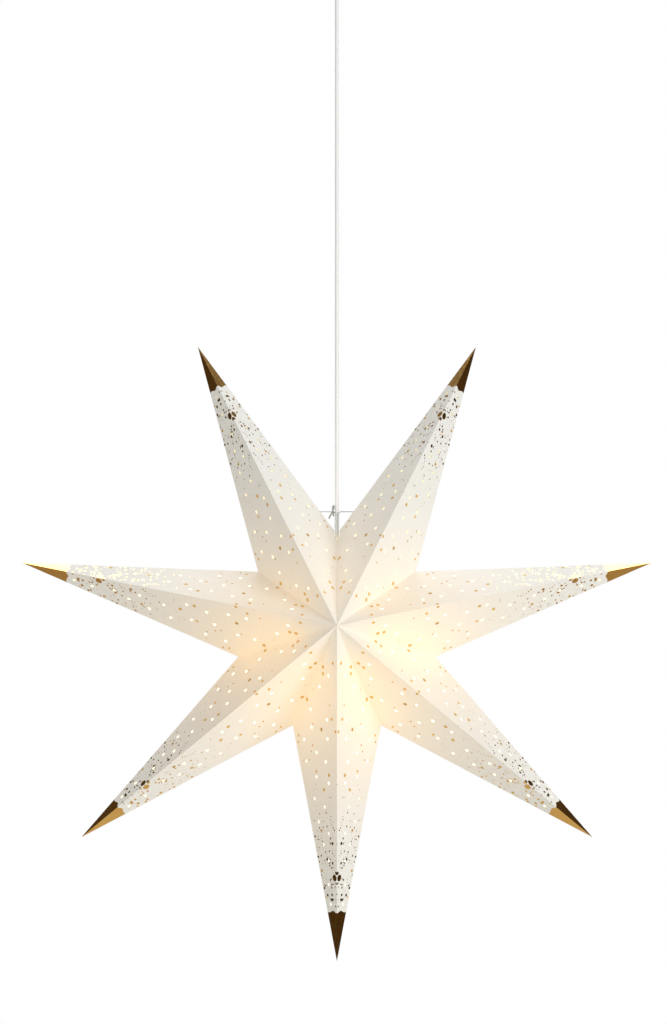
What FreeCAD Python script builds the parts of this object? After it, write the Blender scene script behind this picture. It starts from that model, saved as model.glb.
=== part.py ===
import FreeCAD, Part
import math
import os

# A seven-pointed folded card star that hangs on its cord from a ceiling cup, with a lamp inside.
# Millimetres, +Z up. The origin is the middle of the ceiling plate's top face, the star's front
# faces -Y and its right-hand side is +X.

V = FreeCAD.Vector
ACROSS = V(1, 0, 0)
ORIGIN = V(0, 0, 0)
FAR = 2000.0  # longer than anything here, for cutting tools that must reach past everything
ROUND_SIDES = 24  # flats on a turned piece
CUP_SIDES = 32
SMALL_SIDES = 8
WIRE_SIDES = 5
CORE_SIDES = 4

# --- Star ---------------------------------------------------------------------------------------
RAYS = 7
TIP_RADIUS = 385.0  # star centre to a ray's tip, which makes the star 750 wide
NOTCH_RADIUS = 120.0  # star centre to the notch between two rays
APEX_DEPTH = 112.0  # middle plane to the front apex, and to the back one
CARD = 0.5  # thickness of the card
APEX_HOLE_RADIUS = 1.5  # pinhole left where the seven folded corners meet

FLAP_WIDTH = 13.0  # glue flap inside each valley
FLAP_FROM_APEX = 30.0
FLAP_FROM_NOTCH = 12.0
FLAP_FROM_SLOT = 3.0

PUNCH_RADIUS = 1.7  # the punched light holes, cut with few sides
PUNCH_SIDES = 4
# rows of punched holes on one panel: share of the way from outer fold to ridge, first and last
# distance from the notch line as a share of the ray, and how many holes
PUNCH_ROWS = ((0.20, 0.06, 0.155, 2), (0.42, 0.04, 0.64, 5), (0.73, 0.08, 0.27, 2))

SLOT_WIDTH = 6.4  # top seam left open round the cord and its two wires
SLOT_FRONT = 7.5  # how far the open seam runs to the front of the middle plane
SLOT_BACK = 40.0  # and to the back, where the lamp goes in

# --- Cord and wire hanger -----------------------------------------------------------------------
STAR_DROP = 890.0  # ceiling to star centre
CORD_RADIUS = 2.4
CORD_CLEARANCE = 0.3
SWING = 20.0  # degrees that the cord swings each way
WIRE_RADIUS = 0.7
WIRE_BEND = 1.5
WIRE_SIDE = 1.9  # the two upright wires stand in front of the cord
WIRE_FRONT = CORD_RADIUS + 0.8
WIRE_CLEARANCE = 0.3  # wire to the rim of its hole in the card, and to its notch in the shoulder
WIRE_SLACK = 0.1  # between the hoop, the shoulder and the shade ring
ARM_HEIGHT = NOTCH_RADIUS + 27.0  # hanger arms above the star centre
ARM_REACH = 34.0
ARM_STEP = 2.0  # the arms lie this much higher than the bend at the cord
ARM_JOG = CORD_RADIUS + 1.8
SPLAY_LOW = 70.0
SPLAY_HIGH = 98.0
UPRIGHT_BACK = WIRE_BEND + 0.5  # the uprights pass the shoulder this far behind its middle

PIN_WIRE_RADIUS = 0.8  # split pin that locks the left arm
PIN_BEND = 1.0
PIN_HEAD_RADIUS = 1.3
PIN_HEAD_HEIGHT = 9.3
PIN_NECK_HEIGHT = 3.5
PIN_LEGS = (8.0, 4.5)
PIN_LEG_SPREAD = (4.2, 1.0)
PIN_OFFSET = ARM_JOG + 1.7
PIN_CLEARANCE = 0.15

# --- Lampholder and bulb, heights above the star centre ------------------------------------------
GLOBE_RADIUS = 22.5
GLOBE_WALL = 1.0
GLOBE_BANDS = 8
GLOBE_SHOULDER = 40.0  # degrees above the ball's middle where the neck begins
WAIST_RADIUS = 12.6  # where the ball ends and the housing begins
WAIST_HEIGHT = 20.0
NECK_RADIUS = 8.2
NECK_HEIGHT = 28.0
SCREW_CAP_RADIUS = 6.8
SCREW_CAP_TOP = 52.0
SCREW_CAP_WALL = 0.4
SCREW_CAP_MOUTH = 4.0
SCREW_CAP_CONE = 3.0
HOUSING_PLUG = 8.0  # how far the housing reaches up into the screw cap
INSULATOR_RISE = 1.5
SOLDER_RADIUS = 2.0
SOLDER_RISE = 1.5
SOCKET_CLEARANCE = 0.3

HOLDER_BOTTOM = 30.0
HOLDER_RADIUS = 13.5
HOLDER_WALL = 1.8
HOOP_RADIUS = HOLDER_RADIUS + 2.1  # half hoop of the hanger round the lampholder
SHOULDER_RADIUS = HOLDER_RADIUS + 4.0
SHOULDER_HEIGHT = 45.0
SHOULDER_THICK = 2.5
SHADE_RING_RADIUS = HOLDER_RADIUS + 6.5
SHADE_RING_HEIGHT = 8.0
SHADE_RING_WALL = 2.5
SHADE_RING_RIM = 2.0
HOLDER_CAP_BOTTOM = 56.0
HOLDER_CAP_RADIUS = HOLDER_RADIUS + 0.5
HOLDER_CAP_TOP = 80.0
COLLAR_RADIUS = 6.0
COLLAR_TOP = 88.0
GLIDE = 0.1  # between two turned pieces that are pushed or screwed together
INSERT_GAP = 0.2
INSERT_FLOOR = SCREW_CAP_TOP + 5.0
INSERT_STEP = 2.0
INSERT_TOP = 64.0
SHELL_WALL = 0.4
SHELL_GAP = 0.1
CONTACT_THICK = 0.6
CONTACT_SIZE = (6.0, 3.0)
CONTACT_DIMPLE = 2.4
CORD_END = 76.0  # the cord's jacket is stripped here, inside the holder's cap
CORE_GAP = 0.7  # from the jacket's end to where the cores are modelled
CORE_RADIUS = 0.9
CORE_BEND = 2.0
CORE_SIDE = 1.2  # the two cores lie side by side in the cord
HOLDER_TERMINAL_PITCH = 10.0
HOLDER_TERMINAL_RISE = 2.0
GRIP_SCREW_RADIUS = 1.5
GRIP_SCREW_HEAD = 2.0
SCREW_GAP = 0.15

# --- Ceiling fitting, heights below the ceiling --------------------------------------------------
PLATE_RADIUS = 42.0
PLATE_THICK = 2.0
PLATE_SLOT_SPACING = 60.0
PLATE_SLOT_LENGTH = 12.0
PLATE_SLOT_WIDTH = 5.0
CABLE_HOLE_RADIUS = 6.0
LUG_WIDTH = 10.0
LUG_LENGTH = 12.0
CUP_RADIUS = 46.0
CUP_HEIGHT = 58.0
CUP_WALL = 2.0
CUP_TOP_GAP = 0.5
CUP_SCREW_RADIUS = 1.9
CUP_SCREW_DROP = 8.0
CUP_SCREW_HEAD = 1.8
CUP_SCREW_HOLE = CUP_SCREW_RADIUS + SCREW_GAP
CUP_TAPER = 2.0
CORD_TOP_RISE = 8.0  # jacket left standing above the outlet's neck
OUTLET_NECK_RADIUS = 5.0
OUTLET_NECK_RISE = 10.0
OUTLET_FLANGE_RADIUS = 10.0
OUTLET_FLANGE = 3.0
OUTLET_MOUTH = 11.0  # from the swing centre down to the rim of the bell mouth
OUTLET_RIM = 1.2
NUT_SIZE = 16.0
NUT_THICK = 4.0
BLOCK = (28.0, 16.0, 12.0)
BLOCK_BACK = 20.0
TERMINAL_PITCH = 10.0
TERMINAL_SCREW_RADIUS = 1.6
BLOCK_SCREW_RISE = 1.5
BLOCK_HOLE_DEPTH = 6.0
CORE_IN_BLOCK = 5.0
CORE_STAND_OFF = 4.0  # the cores rise this far in front of the block
CORE_SPREAD = 11.0  # height over which the two cores part

# --- Worked out from the sizes above -------------------------------------------------------------
STEP = 360.0 / RAYS
HALF = math.radians(STEP / 2)
RAY_ANGLES = {
    "ray_bottom": -90.0,
    "ray_lower_right": -90.0 + STEP,
    "ray_right": -90.0 + 2 * STEP,
    "ray_upper_right": -90.0 + 3 * STEP,
    "ray_upper_left": -90.0 + 4 * STEP,
    "ray_left": -90.0 + 5 * STEP,
    "ray_lower_left": -90.0 + 6 * STEP,
}
SWING_Z = -CUP_HEIGHT - OUTLET_FLANGE  # the cord bends in the throat of the outlet


def turned_piece(*profile, sides=ROUND_SIDES):
    """A turned piece with flat sides, from a closed outline of (radius, height) points."""

    def at(point, i):
        angle = 2 * math.pi * (i + 0.5) / sides
        return V(point[0] * math.cos(angle), point[0] * math.sin(angle), point[1])

    faces = []
    for low, high in zip(profile, profile[1:] + profile[:1]):
        if low[0] == high[0] == 0:
            continue
        for i in range(sides):
            corners = [at(low, i), at(high, i), at(high, i + 1), at(low, i + 1)]
            outline = [p for n, p in enumerate(corners) if not p.isEqual(corners[n - 1], 1e-9)]
            faces.append(Part.Face(Part.makePolygon(outline + outline[:1])))
    shell = Part.Shell(faces)
    shell.sewShape()
    solid = Part.Solid(shell)
    if solid.Volume < 0:
        solid.reverse()
    return solid.removeSplitter()


def cuboid(low, high):
    """A block between two opposite corners."""
    size = high - low
    return Part.makeBox(size.x, size.y, size.z, low)


def bent_path(points, radius):
    """Straight runs through the points, joined by tangent arcs of one radius."""
    edges = []
    start = points[0]
    for before, corner, after in zip(points, points[1:], points[2:]):
        back = (before - corner).normalize()
        ahead = (after - corner).normalize()
        half = back.getAngle(ahead) / 2
        reach = radius / math.tan(half)
        inward = (back + ahead).normalize() * (radius / math.sin(half) - radius)
        enter = corner + back * reach
        leave = corner + ahead * reach
        edges.append(Part.LineSegment(start, enter).toShape())
        edges.append(Part.Arc(enter, corner + inward, leave).toShape())
        start = leave
    edges.append(Part.LineSegment(start, points[-1]).toShape())
    return edges


def polygon_ring(corners, centre, normal, radius):
    """A regular polygon's closed outline, square to a direction."""
    side = normal.cross(V(0.1, 1, 0.3)).normalize()
    other = V(normal).normalize().cross(side)
    ring = []
    for i in range(corners):
        angle = 2 * math.pi * i / corners
        ring.append(centre + side * (radius * math.cos(angle)) + other * (radius * math.sin(angle)))
    return Part.makePolygon(ring + ring[:1])


def prism(corners, start, along, radius):
    """A regular prism with this many corners, from start along a vector."""
    return Part.Face(polygon_ring(corners, start, along, radius)).extrude(along)


def wire_along(edges, start, heading, radius, sides=WIRE_SIDES):
    """A wire swept along a path of joined edges."""
    section = polygon_ring(sides, start, heading, radius)
    return Part.Wire(edges).makePipeShell([section], True, False)


def in_star(x, y, z):
    """A point given from the star's centre."""
    return V(x, y, z - STAR_DROP)


def lifted(shape):
    """Move a shape modelled about the star's centre to where the star hangs."""
    return shape.translated(V(0, 0, -STAR_DROP))


# --- The folded rays -----------------------------------------------------------------------------
# One ray is modelled about the star's centre with its tip on +X. Its four panels meet at a front
# and a back ridge, and at the two outer folds from the tip to the notches.


def fold_points():
    """The corners of one ray: tip, upper notch and front apex."""
    tip = V(TIP_RADIUS, 0, 0)
    notch = V(NOTCH_RADIUS * math.cos(HALF), 0, NOTCH_RADIUS * math.sin(HALF))
    apex = V(0, -APEX_DEPTH, 0)
    return tip, notch, apex


def outward_normal():
    """Outward normal of the upper front panel."""
    tip, notch, apex = fold_points()
    normal = (tip - apex).cross(notch - apex).normalize()
    return normal if normal.y < 0 else normal * -1


def turned(vector, degrees):
    """Turn a vector about the star's axis, from +X towards +Z."""
    angle = math.radians(degrees)
    c, s = math.cos(angle), math.sin(angle)
    return V(vector.x * c - vector.z * s, vector.y, vector.x * s + vector.z * c)


def beyond(point, normal):
    """All the space on the normal's side of a plane."""
    block = Part.makeBox(FAR, FAR, FAR, V(-FAR / 2, -FAR / 2, 0))
    block.Placement = FreeCAD.Placement(point, FreeCAD.Rotation(V(0, 0, 1), normal))
    return block


def mirrored_normals(normal):
    """The normal of each of the four panels of a ray."""
    return [V(normal.x, y * normal.y, z * normal.z) for y in (1, -1) for z in (1, -1)]


def ray_wedge(inset):
    """The solid inside the four panel planes, moved inward by the inset."""
    normal = outward_normal()
    tip = fold_points()[0]
    wedge = cuboid(V(0, -TIP_RADIUS, -TIP_RADIUS), V(TIP_RADIUS, TIP_RADIUS, TIP_RADIUS))
    for panel in mirrored_normals(normal):
        wedge = wedge.cut(beyond(tip - panel * inset, panel))
    return wedge


def fold_in_valley():
    """Distance from the valley plane at which the card turns into its flap."""
    sector = V(-math.sin(HALF), 0, math.cos(HALF))
    rise = abs(outward_normal().dot(sector))
    return CARD / (2 * rise)


def panel_place(across, along):
    """A point on the upper front panel, from shares of its width and length."""
    tip, notch, apex = fold_points()
    ridge_start = apex + (tip - apex) * (notch.x / tip.x)
    return (notch + (tip - notch) * along) * (1 - across) + (
        ridge_start + (tip - ridge_start) * along
    ) * across


def punches():
    """Tools for the light holes in the four panels of one ray."""
    normal = outward_normal()
    tools = []
    for across, first, last, count in PUNCH_ROWS:
        for i in range(count):
            along = first + (last - first) * i / (count - 1)
            outside = panel_place(across, along) + normal * CARD
            tools.append(prism(PUNCH_SIDES, outside, normal * (-3 * CARD), PUNCH_RADIUS))
    front = Part.makeCompound(tools)
    lower = front.mirror(ORIGIN, V(0, 0, 1))
    half = Part.makeCompound([front, lower])
    return Part.makeCompound([half, half.mirror(ORIGIN, V(0, 1, 0))])


def flap(stop_short):
    """The front glue flap, folded back under the neighbouring ray's panel."""
    _, notch, apex = fold_points()
    valley = (notch - apex).normalize()
    own = outward_normal()
    sector = V(-math.sin(HALF), 0, math.cos(HALF))
    other = (own - sector * (2 * own.dot(sector))).normalize()
    outward = other.cross(valley)
    outward = outward if outward.dot(sector) > 0 else outward * -1
    root = apex - other * CARD
    first = FLAP_FROM_APEX
    last = (notch - apex).Length - stop_short
    taper = FLAP_WIDTH
    outline = [
        root + valley * first - outward * taper,
        root + valley * (first + taper) + outward * FLAP_WIDTH,
        root + valley * (last - taper) + outward * FLAP_WIDTH,
        root + valley * last - outward * taper,
    ]
    plate = Part.Face(Part.makePolygon(outline + outline[:1])).extrude(other * -CARD)
    return plate.cut(beyond(sector * fold_in_valley(), sector * -1))


def folded_ray(front_stop, back_stop):
    """One printed card, folded into a hollow four-sided point with its two flaps."""
    sector = V(-math.sin(HALF), 0, math.cos(HALF))
    normal = outward_normal()
    card = ray_wedge(0).cut(ray_wedge(CARD))
    card = card.cut(beyond(sector * fold_in_valley(), sector))
    under = Part.makeBox(FAR, FAR, FAR, V(-FAR / 2, -FAR / 2, -FAR / 2))
    _, notch, _ = fold_points()
    corner = turned(notch, -STEP)
    for side in (1, -1):
        facing = turned(V(normal.x, side * normal.y, normal.z), -STEP)
        under = under.cut(beyond(corner, facing))
    card = card.cut(under)
    card = card.cut(punches())
    front = flap(front_stop)
    back = flap(back_stop).mirror(ORIGIN, V(0, 1, 0))
    card = card.fuse(front).fuse(back)
    pinhole = Part.makeCylinder(APEX_HOLE_RADIUS, FAR, V(0, -FAR / 2, 0), V(0, 1, 0))
    return card.cut(pinhole).removeSplitter()


def place_ray(ray, angle):
    """Turn a ray to its place round the star and lift it to the star's height."""
    turned_ray = ray.copy()
    turned_ray.rotate(ORIGIN, V(0, -1, 0), angle)
    return lifted(turned_ray)


def seam_tools():
    """The open top seam, and the two holes that the hanger's arms pass through."""
    half = SLOT_WIDTH / 2
    slot = cuboid(in_star(-half, -SLOT_FRONT, 0), in_star(half, SLOT_BACK, ARM_HEIGHT))
    reach = ARM_REACH + ARM_STEP
    rim = (WIRE_RADIUS + WIRE_CLEARANCE) / math.cos(math.pi / SMALL_SIDES)
    arms = prism(SMALL_SIDES, in_star(-reach, 0, ARM_HEIGHT), V(2 * reach, 0, 0), rim)
    return Part.makeCompound([slot, arms])


def rays():
    """The seven rays by name. The top pair stays open at the seam for the cord and lamp."""
    valley = math.hypot(NOTCH_RADIUS, APEX_DEPTH)
    clear_of_slot = [valley * run / APEX_DEPTH + FLAP_FROM_SLOT for run in (SLOT_FRONT, SLOT_BACK)]
    plain = folded_ray(FLAP_FROM_NOTCH, FLAP_FROM_NOTCH)
    seamed = folded_ray(*clear_of_slot)
    made = {}
    for name, angle in RAY_ANGLES.items():
        ray = place_ray(seamed if name == "ray_upper_right" else plain, angle)
        if name.startswith("ray_upper"):
            ray = ray.cut(seam_tools())
        made[name] = ray
    return made


# --- Wire hanger, split pin and cord -------------------------------------------------------------


def hoop_height():
    """The hoop lies just under the lampholder's shoulder."""
    return SHOULDER_HEIGHT - WIRE_RADIUS - WIRE_SLACK


def wire_hanger():
    """One bent wire: arm, upright, half hoop round the lampholder, upright, arm."""
    left = [
        in_star(-ARM_REACH, 0, ARM_HEIGHT),
        in_star(-ARM_JOG, 0, ARM_HEIGHT),
        in_star(-WIRE_SIDE, -WIRE_FRONT, ARM_HEIGHT - ARM_STEP),
        in_star(-WIRE_SIDE, -WIRE_FRONT, SPLAY_HIGH),
        in_star(-HOOP_RADIUS, UPRIGHT_BACK, SPLAY_LOW),
        in_star(-HOOP_RADIUS, UPRIGHT_BACK, hoop_height()),
        in_star(-HOOP_RADIUS, 0, hoop_height()),
    ]
    right = [V(-p.x, p.y, p.z) for p in reversed(left)]
    hoop = Part.Arc(left[-1], in_star(0, -HOOP_RADIUS, hoop_height()), right[0]).toShape()
    edges = bent_path(left, WIRE_BEND) + [hoop] + bent_path(right, WIRE_BEND)
    return wire_along(edges, left[0], ACROSS, WIRE_RADIUS)


def split_pin():
    """A pin with an eye at the top that straddles the left arm, its legs spread below."""
    side = WIRE_RADIUS + PIN_WIRE_RADIUS + PIN_CLEARANCE
    neck = ARM_HEIGHT + PIN_NECK_HEIGHT
    points = [
        in_star(-PIN_OFFSET - PIN_LEG_SPREAD[0], -side, ARM_HEIGHT - PIN_LEGS[0]),
        in_star(-PIN_OFFSET, -side, ARM_HEIGHT),
        in_star(-PIN_OFFSET + PIN_HEAD_RADIUS, -side, neck),
        in_star(-PIN_OFFSET + PIN_HEAD_RADIUS, 0, ARM_HEIGHT + PIN_HEAD_HEIGHT),
        in_star(-PIN_OFFSET, side, neck),
        in_star(-PIN_OFFSET + PIN_LEG_SPREAD[1], side, ARM_HEIGHT - PIN_LEGS[1]),
    ]
    edges = bent_path(points, PIN_BEND)
    return wire_along(edges, points[0], points[1] - points[0], PIN_WIRE_RADIUS)


def pendant_cord():
    """The straight, loaded cord, rounded where it bends in the outlet's throat."""
    bottom = CORD_END - STAR_DROP
    slope = CORD_RADIUS * math.sqrt(0.5)
    return turned_piece(
        (0, bottom),
        (CORD_RADIUS, bottom),
        (CORD_RADIUS, SWING_Z),
        (slope, SWING_Z + slope),
        (0, SWING_Z + CORD_RADIUS),
        sides=ROUND_SIDES // 2,
    )


# --- Lampholder ----------------------------------------------------------------------------------


def holder_skirt():
    """Lower shell, with a shoulder that is notched for the hanger's two uprights."""
    bore = HOLDER_RADIUS - HOLDER_WALL
    shoulder_top = SHOULDER_HEIGHT + SHOULDER_THICK
    skirt = turned_piece(
        (bore, HOLDER_BOTTOM),
        (HOLDER_RADIUS, HOLDER_BOTTOM),
        (HOLDER_RADIUS, SHOULDER_HEIGHT),
        (SHOULDER_RADIUS, SHOULDER_HEIGHT),
        (SHOULDER_RADIUS, shoulder_top),
        (HOLDER_RADIUS, shoulder_top),
        (HOLDER_RADIUS, HOLDER_CAP_BOTTOM),
        (bore, HOLDER_CAP_BOTTOM),
    )
    half = WIRE_RADIUS + WIRE_CLEARANCE
    for side in (-1, 1):
        near, far = sorted((side * (HOOP_RADIUS - half), side * FAR))
        low = V(near, UPRIGHT_BACK - half, SHOULDER_HEIGHT - SHOULDER_THICK)
        high = V(far, UPRIGHT_BACK + half, shoulder_top + SHOULDER_THICK)
        skirt = skirt.cut(cuboid(low, high))
    return lifted(skirt)


def shade_ring():
    """Threaded ring that clamps the hanger's hoop up against the shoulder."""
    top = hoop_height() - WIRE_RADIUS - WIRE_SLACK
    bore = HOLDER_RADIUS + GLIDE
    return lifted(
        turned_piece(
            (bore, top - SHADE_RING_HEIGHT),
            (bore + SHADE_RING_WALL, top - SHADE_RING_HEIGHT),
            (bore + SHADE_RING_WALL, top - SHADE_RING_RIM),
            (SHADE_RING_RADIUS, top - SHADE_RING_RIM),
            (SHADE_RING_RADIUS, top),
            (bore, top),
        )
    )


def holder_cap():
    """Upper shell: domed, with a collar round the cord."""
    wall = HOLDER_WALL
    waist = (HOLDER_CAP_BOTTOM + HOLDER_CAP_TOP) / 2
    bore = CORD_RADIUS + CORD_CLEARANCE
    cap = turned_piece(
        (HOLDER_CAP_RADIUS, HOLDER_CAP_BOTTOM),
        (HOLDER_CAP_RADIUS, waist),
        (0.8 * HOLDER_CAP_RADIUS, (waist + HOLDER_CAP_TOP) / 2),
        (COLLAR_RADIUS, HOLDER_CAP_TOP),
        (COLLAR_RADIUS, COLLAR_TOP),
        (bore, COLLAR_TOP),
        (bore, HOLDER_CAP_TOP - wall),
        (COLLAR_RADIUS - wall, HOLDER_CAP_TOP - wall),
        (HOLDER_CAP_RADIUS - wall, waist),
        (HOLDER_CAP_RADIUS - wall, HOLDER_CAP_BOTTOM),
    )
    grip_z = (HOLDER_CAP_TOP + COLLAR_TOP) / 2
    hole = prism(SMALL_SIDES, V(0, 0, grip_z), V(0, FAR, 0), GRIP_SCREW_RADIUS + SCREW_GAP)
    return lifted(cap.cut(hole))


def cord_grip_screw():
    """Nylon screw in the collar that keeps the cord from pulling out."""
    grip_z = (HOLDER_CAP_TOP + COLLAR_TOP) / 2
    tip = V(0, CORD_RADIUS + CORD_CLEARANCE, grip_z)
    seat = V(0, COLLAR_RADIUS + GLIDE, grip_z)
    shank = prism(SMALL_SIDES, tip, seat - tip, GRIP_SCREW_RADIUS)
    head = prism(SMALL_SIDES, seat, V(0, GRIP_SCREW_HEAD, 0), 1.7 * GRIP_SCREW_RADIUS)
    return lifted(shank.fuse(head))


def contact_insert():
    """Insulating insert that carries the thread shell and the terminals."""
    outer = HOLDER_RADIUS - HOLDER_WALL - INSERT_GAP
    bore = shell_radius() + SHELL_WALL + SHELL_GAP
    low = HOLDER_BOTTOM + 2 * INSERT_STEP
    step = HOLDER_CAP_BOTTOM + 2 * INSERT_STEP
    return lifted(
        turned_piece(
            (bore, low),
            (outer, low),
            (outer, step),
            (outer - INSERT_STEP, step),
            (outer - INSERT_STEP, INSERT_TOP),
            (0, INSERT_TOP),
            (0, INSERT_FLOOR),
            (bore, INSERT_FLOOR),
        )
    )


def shell_radius():
    """Inner radius of the thread shell round the bulb's screw cap."""
    return SCREW_CAP_RADIUS + SOCKET_CLEARANCE


def thread_shell():
    """Brass shell that the bulb screws into."""
    bore = shell_radius()
    return lifted(
        turned_piece(
            (bore, HOLDER_BOTTOM + INSERT_STEP),
            (bore + SHELL_WALL, HOLDER_BOTTOM + INSERT_STEP),
            (bore + SHELL_WALL, SCREW_CAP_TOP - INSERT_STEP),
            (bore, SCREW_CAP_TOP - INSERT_STEP),
        )
    )


def centre_contact():
    """Brass strip in the insert's floor that meets the bulb's tip."""
    half_x, half_y = CONTACT_SIZE[0] / 2, CONTACT_SIZE[1] / 2
    low = INSERT_FLOOR - CONTACT_THICK
    dimple = CONTACT_DIMPLE / 2
    strip = cuboid(V(-half_x, -half_y, low), V(half_x, half_y, INSERT_FLOOR))
    return lifted(strip.fuse(cuboid(V(-dimple, -dimple, low - CONTACT_THICK), V(dimple, dimple, low))))


def terminal_screws(centre, pitch, length, radius):
    """Two small screws side by side."""
    offsets = [V(side * pitch / 2, 0, 0) for side in (-1, 1)]
    up = V(0, 0, length)
    return Part.makeCompound([prism(SMALL_SIDES, centre + offset, up, radius) for offset in offsets])


# --- Bulb ----------------------------------------------------------------------------------------


def globe_profile(radius, start_angle, bands):
    """Points round a ball from its lowest point up to an angle above its middle."""
    points = []
    for i in range(bands + 1):
        angle = math.radians(-90 + (90 + start_angle) * i / bands)
        points.append((radius * math.cos(angle), radius * math.sin(angle)))
    return points


def bulb_globe():
    """Opal ball that narrows to its neck, open at the neck."""
    outer = globe_profile(GLOBE_RADIUS, GLOBE_SHOULDER, GLOBE_BANDS)
    inner = globe_profile(GLOBE_RADIUS - GLOBE_WALL, GLOBE_SHOULDER, GLOBE_BANDS - 3)
    rim = [(WAIST_RADIUS, WAIST_HEIGHT), (WAIST_RADIUS - GLOBE_WALL, WAIST_HEIGHT)]
    outer[0] = (0, -GLOBE_RADIUS)
    inner[0] = (0, GLOBE_WALL - GLOBE_RADIUS)
    return lifted(turned_piece(*outer, *rim, *reversed(inner)))


def bulb_housing():
    """White cone between the ball and the screw cap."""
    plug = SCREW_CAP_RADIUS - SCREW_CAP_WALL - GLIDE
    return lifted(
        turned_piece(
            (0, WAIST_HEIGHT),
            (WAIST_RADIUS, WAIST_HEIGHT),
            (NECK_RADIUS, NECK_HEIGHT),
            (plug, NECK_HEIGHT),
            (plug, NECK_HEIGHT + HOUSING_PLUG),
            (0, NECK_HEIGHT + HOUSING_PLUG),
        )
    )


def bulb_screw_cap():
    """Nickel screw cap."""
    wall = SCREW_CAP_WALL
    cone = SCREW_CAP_TOP - SCREW_CAP_CONE
    return lifted(
        turned_piece(
            (SCREW_CAP_RADIUS - wall, NECK_HEIGHT),
            (SCREW_CAP_RADIUS, NECK_HEIGHT),
            (SCREW_CAP_RADIUS, cone),
            (SCREW_CAP_MOUTH, SCREW_CAP_TOP),
            (SCREW_CAP_MOUTH - wall, SCREW_CAP_TOP - wall),
            (SCREW_CAP_RADIUS - wall, cone - wall),
        )
    )


def bulb_insulator():
    """Black glass ring that holds the bulb's centre contact."""
    return lifted(
        turned_piece(
            (0, SCREW_CAP_TOP),
            (SCREW_CAP_MOUTH - GLIDE, SCREW_CAP_TOP),
            (SOLDER_RADIUS + SCREW_CAP_WALL, SCREW_CAP_TOP + INSULATOR_RISE),
            (0, SCREW_CAP_TOP + INSULATOR_RISE),
        )
    )


def bulb_tip():
    """Solder tip of the bulb."""
    base = V(0, 0, SCREW_CAP_TOP + INSULATOR_RISE)
    return lifted(prism(ROUND_SIDES // 2, base, V(0, 0, SOLDER_RISE), SOLDER_RADIUS))


# --- Ceiling fitting -----------------------------------------------------------------------------


def ceiling_plate():
    """Round steel plate with two slots, a cable hole and two bent lugs for the cup's screws."""
    plate = prism(CUP_SIDES, V(0, 0, -PLATE_THICK), V(0, 0, PLATE_THICK), PLATE_RADIUS)
    plate = plate.cut(Part.makeCylinder(CABLE_HOLE_RADIUS, FAR, V(0, 0, -FAR / 2)))
    run = (PLATE_SLOT_LENGTH - PLATE_SLOT_WIDTH) / 2
    for side in (-1, 1):
        middle = side * PLATE_SLOT_SPACING / 2
        slot = cuboid(
            V(middle - run, -PLATE_SLOT_WIDTH / 2, -FAR / 2),
            V(middle + run, PLATE_SLOT_WIDTH / 2, FAR / 2),
        )
        for end in (-run, run):
            slot = slot.fuse(Part.makeCylinder(PLATE_SLOT_WIDTH / 2, FAR, V(middle + end, 0, -FAR / 2)))
        plate = plate.cut(slot)
    for side in (-1, 1):
        near, far = sorted((side * (PLATE_RADIUS - PLATE_THICK), side * PLATE_RADIUS))
        low = V(-LUG_WIDTH / 2, near, -LUG_LENGTH)
        plate = plate.fuse(cuboid(low, V(LUG_WIDTH / 2, far, -PLATE_THICK / 2)))
        start = V(0, near - PLATE_THICK, -CUP_SCREW_DROP)
        plate = plate.cut(prism(ROUND_SIDES, start, V(0, 3 * PLATE_THICK, 0), CUP_SCREW_HOLE))
    return plate.removeSplitter()


def ceiling_cup():
    """Round cup, hollow, open at the ceiling and bored for the outlet."""
    wall = CUP_WALL
    knee = 0.9 * CUP_RADIUS
    floor = 0.62 * CUP_RADIUS
    hole = OUTLET_NECK_RADIUS + GLIDE
    cup = turned_piece(
        (CUP_RADIUS, -CUP_TOP_GAP),
        (CUP_RADIUS - CUP_TAPER, -0.75 * CUP_HEIGHT),
        (knee - CUP_TAPER, -0.93 * CUP_HEIGHT),
        (floor, -CUP_HEIGHT),
        (hole, -CUP_HEIGHT),
        (hole, wall - CUP_HEIGHT),
        (floor - wall, wall - CUP_HEIGHT),
        (CUP_RADIUS - CUP_TAPER - wall, -0.75 * CUP_HEIGHT),
        (CUP_RADIUS - wall, -CUP_TOP_GAP),
        sides=CUP_SIDES,
    )
    for side in (-1, 1):
        inside = V(0, side * (CUP_RADIUS - 2 * wall), -CUP_SCREW_DROP)
        cup = cup.cut(prism(ROUND_SIDES, inside, V(0, side * 3 * wall, 0), CUP_SCREW_HOLE))
    return cup


def cup_screws():
    """The two screws through the cup's side into the plate's lugs."""
    screws = []
    for side in (-1, 1):
        tip = V(0, side * (PLATE_RADIUS - 2 * PLATE_THICK), -CUP_SCREW_DROP)
        seat = V(0, side * (CUP_RADIUS + GLIDE), -CUP_SCREW_DROP)
        shank = prism(ROUND_SIDES // 2, tip, seat - tip, CUP_SCREW_RADIUS)
        head = prism(ROUND_SIDES // 2, seat, V(0, side * CUP_SCREW_HEAD, 0), 1.8 * CUP_SCREW_RADIUS)
        screws.append(shank.fuse(head))
    return Part.makeCompound(screws)


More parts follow.
